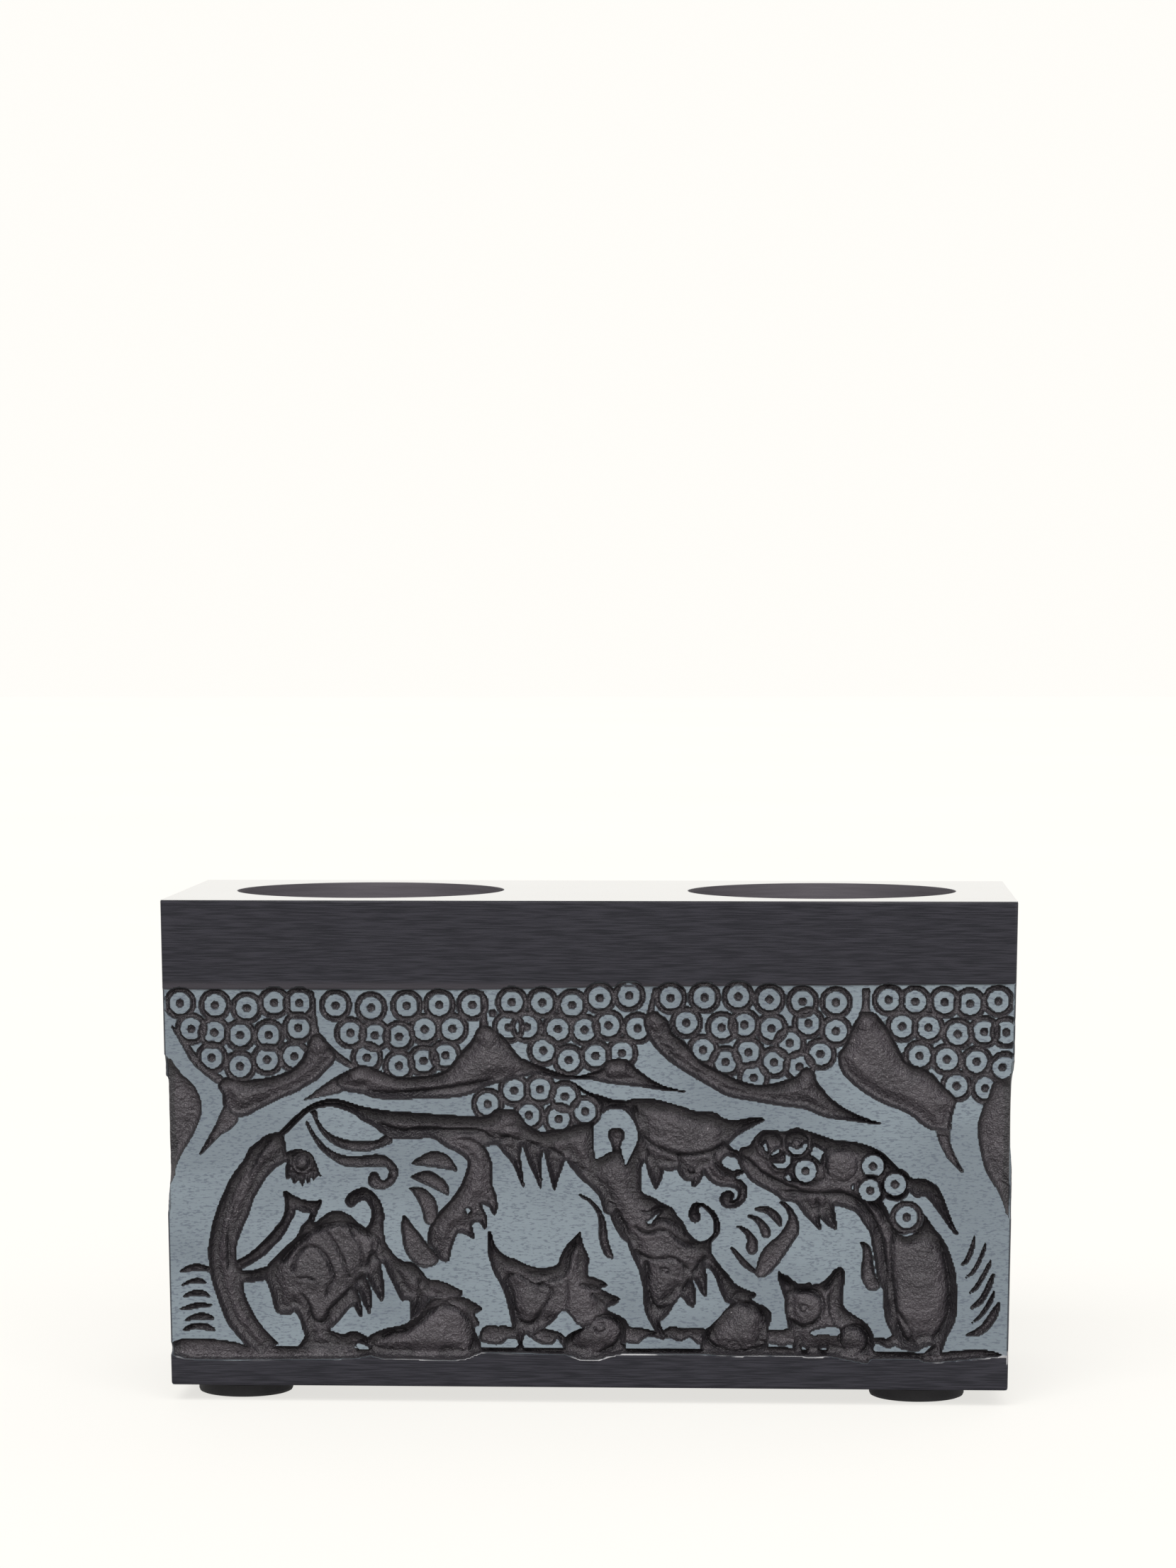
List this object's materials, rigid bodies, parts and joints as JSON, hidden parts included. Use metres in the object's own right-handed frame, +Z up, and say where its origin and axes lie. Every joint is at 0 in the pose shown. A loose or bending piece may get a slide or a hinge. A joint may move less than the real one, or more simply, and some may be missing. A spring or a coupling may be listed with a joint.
{
  "type": "brush holder block",
  "caption": "Rectangular carved soapstone desk block with two round wells in its top for brushes or pens, standing on four round stick-on pads.",
  "frame": {"origin": "centre of the footprint, on the surface that the feet stand on", "axes": "+X along the block's length to the right, +Y from the front face to the back face, +Z up out of the wells"},
  "size_m": [0.152, 0.064, 0.0895],
  "materials": {
    "soapstone": "honed pale grey panels, darker waxed recesses, polished charcoal bands and top",
    "foot_rubber": "matte black",
    "adhesive": "thin double-sided adhesive disc"
  },
  "bodies": {
    "root": {"stone_block": "soapstone", "foot_pad_front_left": "foot_rubber", "foot_pad_front_right": "foot_rubber", "foot_pad_rear_left": "foot_rubber", "foot_pad_rear_right": "foot_rubber", "foot_adhesive_front_left": "adhesive", "foot_adhesive_front_right": "adhesive", "foot_adhesive_rear_left": "adhesive", "foot_adhesive_rear_right": "adhesive"}
  },
  "joints": []
}
